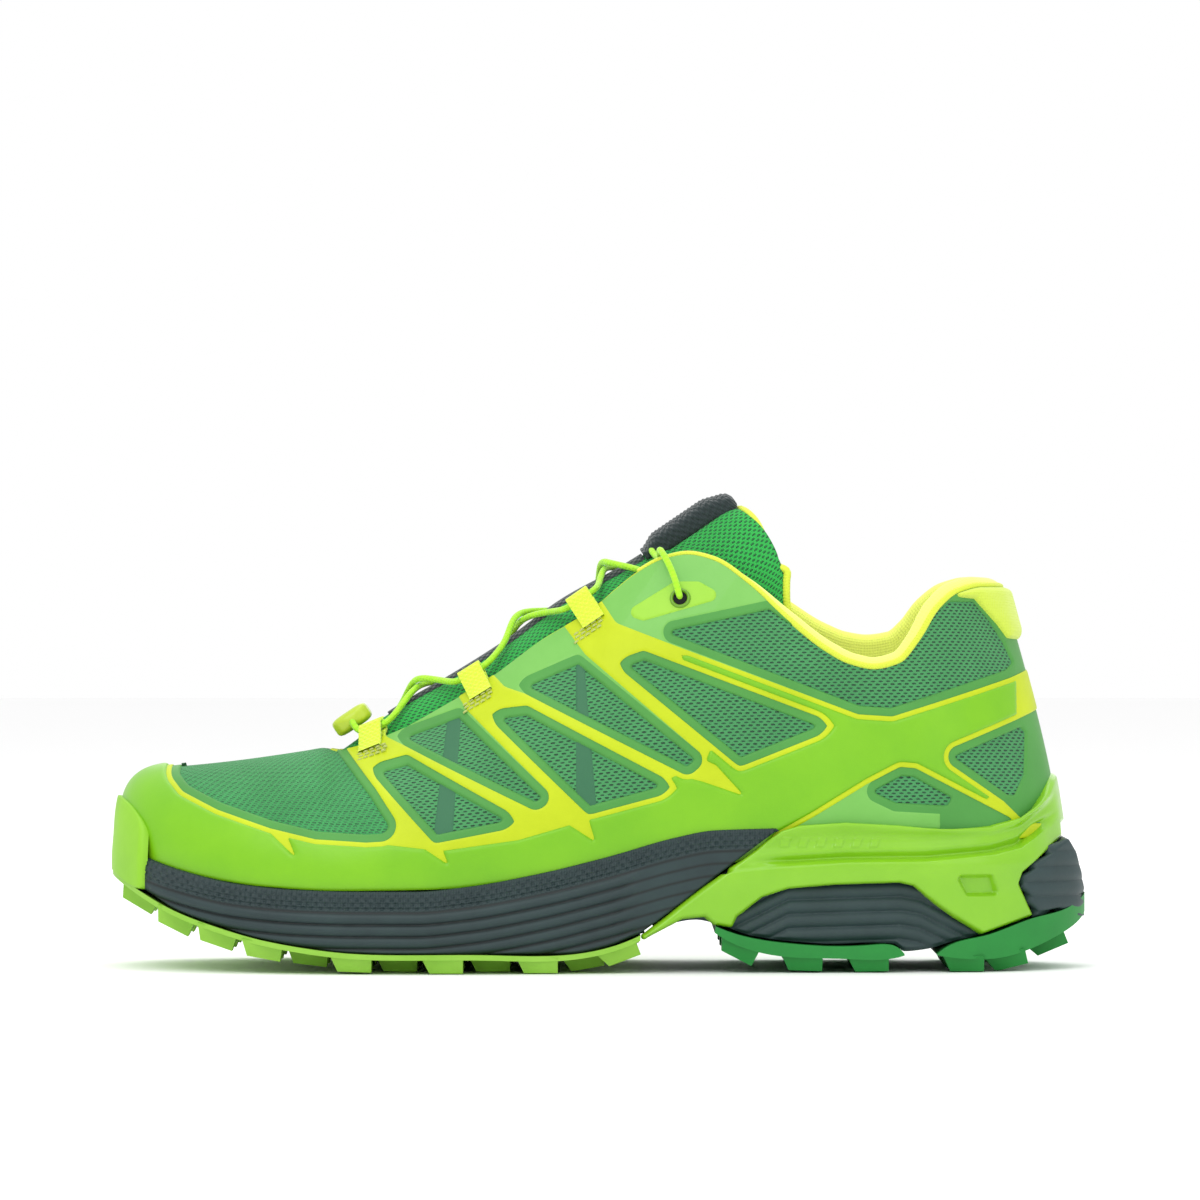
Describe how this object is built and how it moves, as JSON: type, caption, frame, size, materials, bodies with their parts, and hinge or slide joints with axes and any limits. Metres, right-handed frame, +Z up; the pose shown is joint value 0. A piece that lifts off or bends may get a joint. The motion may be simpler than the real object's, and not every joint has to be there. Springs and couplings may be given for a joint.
{
  "type": "running shoe",
  "caption": "Low-cut trail running shoe for the left foot with a lugged outsole, heel frame, caged mesh upper, gusseted tongue and a quick-lace lock.",
  "frame": {"origin": "bottom centre of the bounding box, on the ground", "axes": "+X towards the heel, -X towards the toe, -Y towards the outer side of the foot, +Z up"},
  "size_m": [0.2995, 0.108, 0.1474],
  "materials": {
    "foam_slate": "matt",
    "frame_lime": "satin moulded",
    "outsole_lime": "matt",
    "outsole_green": "matt",
    "shank_dark": "matt film",
    "mesh_green": "textile",
    "film_light": "matt film",
    "film_yellow": "matt film",
    "film_lime": "matt film",
    "rand_lime": "matt",
    "stiffener": "matt film",
    "lining_yellow": "textile",
    "tab_yellow": "textile",
    "binding_yellow": "textile",
    "board_grey": "textile",
    "insole_grey": "matt",
    "insole_cloth": "textile",
    "tongue_green": "textile",
    "band_slate": "textile",
    "gusset_green": "textile",
    "lock_dark": "matt film",
    "lock_lime": "satin moulded",
    "loop_yellow": "textile",
    "eyelet_green": "matt film",
    "anchor_yellow": "satin moulded",
    "lace_lime": "textile"
  },
  "bodies": {
    "shoe": {"midsole_forefoot": "foam_slate", "midsole_heel": "foam_slate", "heel_frame": "frame_lime", "outsole_forefoot": "outsole_lime", "outsole_heel_front": "outsole_green", "outsole_heel_rear": "outsole_green", "arch_shank": "shank_dark", "vamp_mesh": "mesh_green", "quarter_mesh_outer": "mesh_green", "quarter_mesh_inner": "mesh_green", "heel_mesh": "mesh_green", "vamp_film": "film_light", "cage_film_outer": "film_light", "cage_film_inner": "film_light", "heel_film": "film_light", "stripe_film_outer": "film_yellow", "stripe_film_inner": "film_yellow", "heel_wing_outer": "film_lime", "heel_wing_inner": "film_lime", "eye_patch_outer": "film_lime", "eye_patch_inner": "film_lime", "toe_rand": "rand_lime", "side_rand_outer": "rand_lime", "side_rand_inner": "rand_lime", "toe_puff": "stiffener", "heel_counter": "stiffener", "collar_lining_outer": "lining_yellow", "collar_lining_inner": "lining_yellow", "collar_lining_heel": "lining_yellow", "heel_tab": "tab_yellow", "edge_binding": "binding_yellow", "lasting_board": "board_grey", "insole_foam": "insole_grey", "insole_cover": "insole_cloth", "tongue_lower": "tongue_green", "tongue_band": "band_slate", "tongue_gusset_outer": "gusset_green", "tongue_gusset_inner": "gusset_green", "lace_loops_outer": "loop_yellow", "lace_loops_inner": "loop_yellow", "eyelet_outer": "eyelet_green", "eyelet_inner": "eyelet_green", "lace_anchor": "anchor_yellow", "lace_strand_a": "lace_lime", "lace_strand_b": "lace_lime"},
    "tongue_top": {"tongue_upper": "tongue_green", "lace_pocket": "band_slate", "tongue_piping": "binding_yellow", "lace_tail": "lace_lime"},
    "lock": {"lock_body": "lock_dark"},
    "button": {"lock_button": "lock_lime"}
  },
  "joints": [
    {"name": "tongue_fold", "type": "hinge", "parent": "shoe", "child": "tongue_top", "pos_m": [0.01889, 0, 0.12949], "axis": [0, -1, 0], "range_deg": [0, 20], "stiffness_Nm_per_rad": 0.05},
    {"name": "lock_slide", "type": "slide", "parent": "tongue_top", "child": "lock", "axis": [0.8284, 0, 0.5602], "range_m": [-0.0014, 0.0024]},
    {"name": "button_press", "type": "slide", "parent": "lock", "child": "button", "axis": [-0.8284, 0, -0.5602], "range_m": [0, 0.002], "stiffness_N_per_m": 600}
  ]
}
